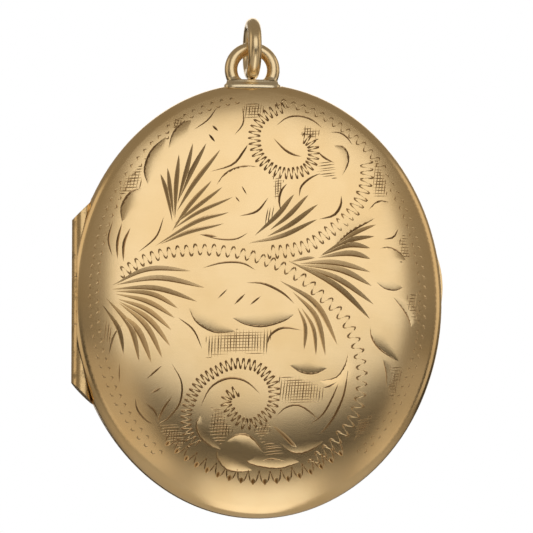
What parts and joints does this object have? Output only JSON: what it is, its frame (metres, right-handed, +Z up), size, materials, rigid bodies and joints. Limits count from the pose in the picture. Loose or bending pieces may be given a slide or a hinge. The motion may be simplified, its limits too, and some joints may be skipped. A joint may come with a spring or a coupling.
{
  "type": "locket",
  "caption": "Oval hinged locket with a domed engraved front, plain domed back, photo frames inside, bail and jump ring.",
  "frame": {"origin": "centre of the jump ring's hole, where a chain passes, with the ring hanging straight", "axes": "+Z up along the locket as it hangs, engraved front facing -Y, hinge on the -X side, the two halves close on the plane Y = 0"},
  "size_m": [0.0295, 0.0056, 0.0397],
  "materials": {
    "engraved_gold": "satin gold, hand engraved, softly worn",
    "plain_gold": "satin gold with fine handling marks",
    "inner_gold": "duller unpolished gold inside the halves",
    "hinge_gold": "drawn gold tube, worn, darker in the joints",
    "solder_gold": "pale solder flushed over a gold block",
    "wire_gold": "drawn gold wire, polished by wear",
    "clear_window": "clear flat window",
    "card": "blank aged paper card"
  },
  "bodies": {
    "back_half": {"back_cover": "plain_gold", "back_land": "inner_gold", "back_seat": "inner_gold", "back_bearer": "inner_gold", "snap_rim": "inner_gold", "snap_bead": "inner_gold", "thumb_lip": "plain_gold", "upper_knuckle": "hinge_gold", "lower_knuckle": "hinge_gold", "hinge_pin": "hinge_gold", "back_photo_card": "card", "bail_foot": "solder_gold", "bail_loop": "wire_gold"},
    "front_half": {"front_cover": "engraved_gold", "front_land": "inner_gold", "front_seat": "inner_gold", "front_bearer": "inner_gold", "middle_knuckle": "hinge_gold", "front_photo_card": "card"},
    "jump_ring": {"jump_ring": "wire_gold"},
    "back_frame": {"back_photo_frame": "plain_gold", "back_window": "clear_window"},
    "front_frame": {"front_photo_frame": "plain_gold", "front_window": "clear_window"}
  },
  "joints": [
    {"name": "cover_hinge", "type": "hinge", "parent": "back_half", "child": "front_half", "pos_m": [-0.0134, 0, -0.01995], "axis": [0, 0, -1], "range_deg": [0, 148]},
    {"name": "jump_ring_swivel", "type": "hinge", "parent": "back_half", "child": "jump_ring", "pos_m": [0, 0, 0], "axis": [0, 0, 1], "range_deg": [-45, 45]},
    {"name": "back_frame_lift", "type": "slide", "parent": "back_half", "child": "back_frame", "axis": [0, -1, 0], "range_m": [0, 0.0004]},
    {"name": "front_frame_lift", "type": "slide", "parent": "front_half", "child": "front_frame", "axis": [0, 1, 0], "range_m": [0, 0.0004]}
  ]
}
